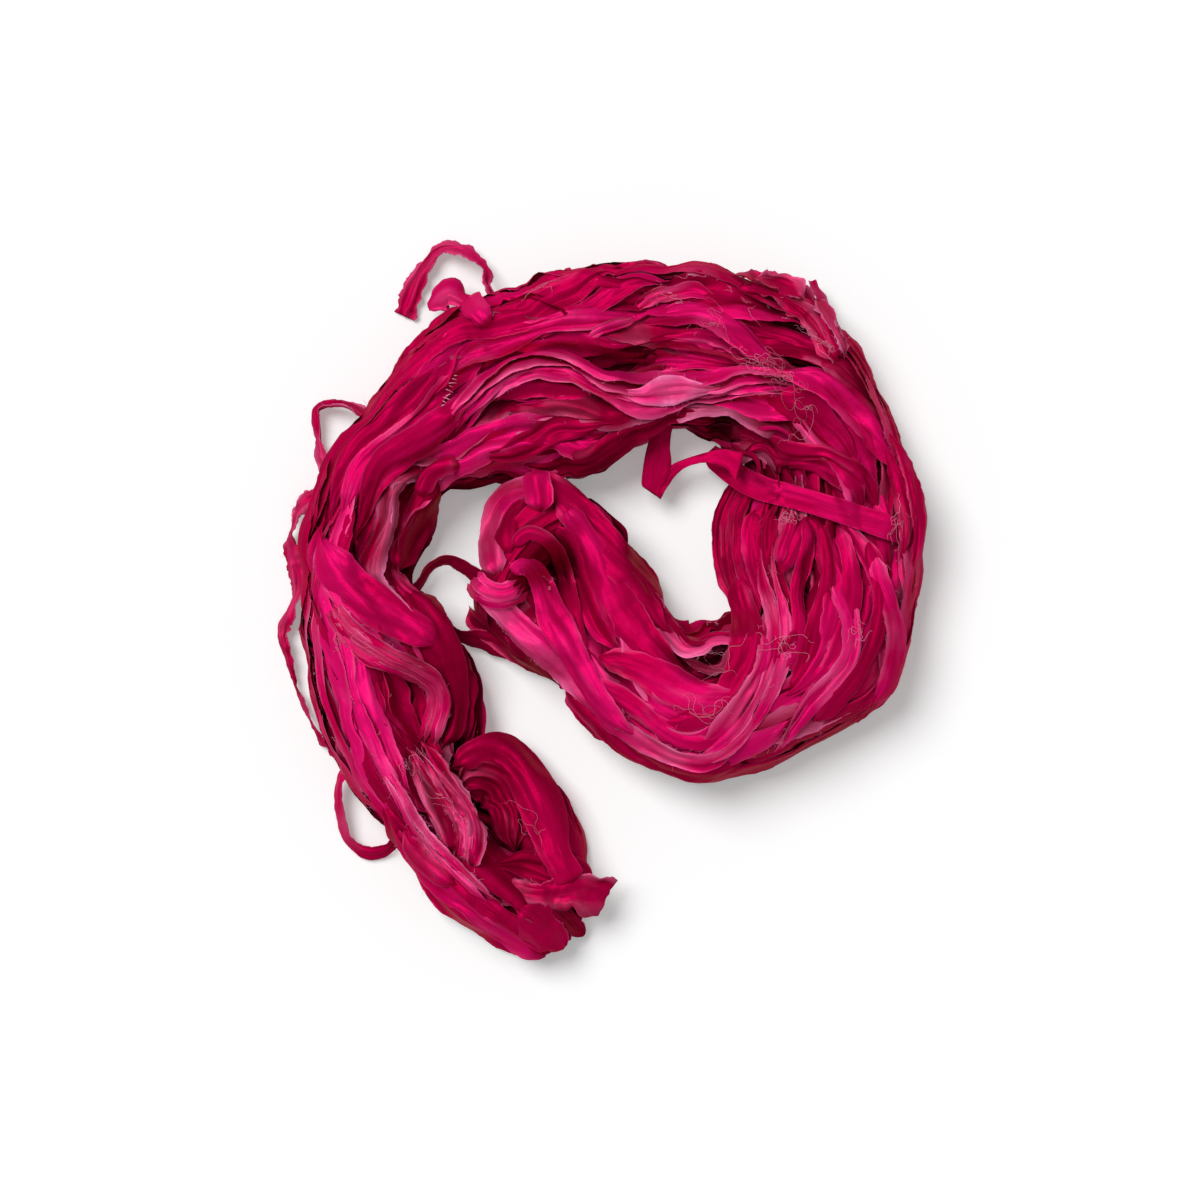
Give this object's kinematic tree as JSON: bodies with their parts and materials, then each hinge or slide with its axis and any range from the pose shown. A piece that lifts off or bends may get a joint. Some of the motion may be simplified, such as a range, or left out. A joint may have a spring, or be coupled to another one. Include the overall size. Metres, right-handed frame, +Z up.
{
  "type": "hank of sari silk ribbon",
  "caption": "Loose hank of crumpled silk ribbon lying on a surface in an open spiral, with an open looped tail, a looped inner end and loose strips that stray from it.",
  "frame": {"origin": "on the surface it lies on, under the middle of its whole outline", "axes": "+Z up from the surface, +Y along the outline's longer side towards the top of the curl, +X across it"},
  "size_m": [0.3916, 0.4308, 0.049],
  "materials": {
    "wound_silk": "crumpled deep crimson silk with a soft sheen",
    "loose_silk": "torn magenta silk strip with worn, frayed edges"
  },
  "bodies": {
    "root": {"hank": "wound_silk", "curl_end": "loose_silk", "folded_end": "loose_silk", "left_loop": "loose_silk", "side_strand": "loose_silk", "tail_loop": "loose_silk", "fold_strand": "loose_silk", "inner_strand": "loose_silk", "upper_bridge": "loose_silk", "lower_bridge": "loose_silk", "tail_frill": "loose_silk", "frayed_tip": "loose_silk"}
  },
  "joints": []
}
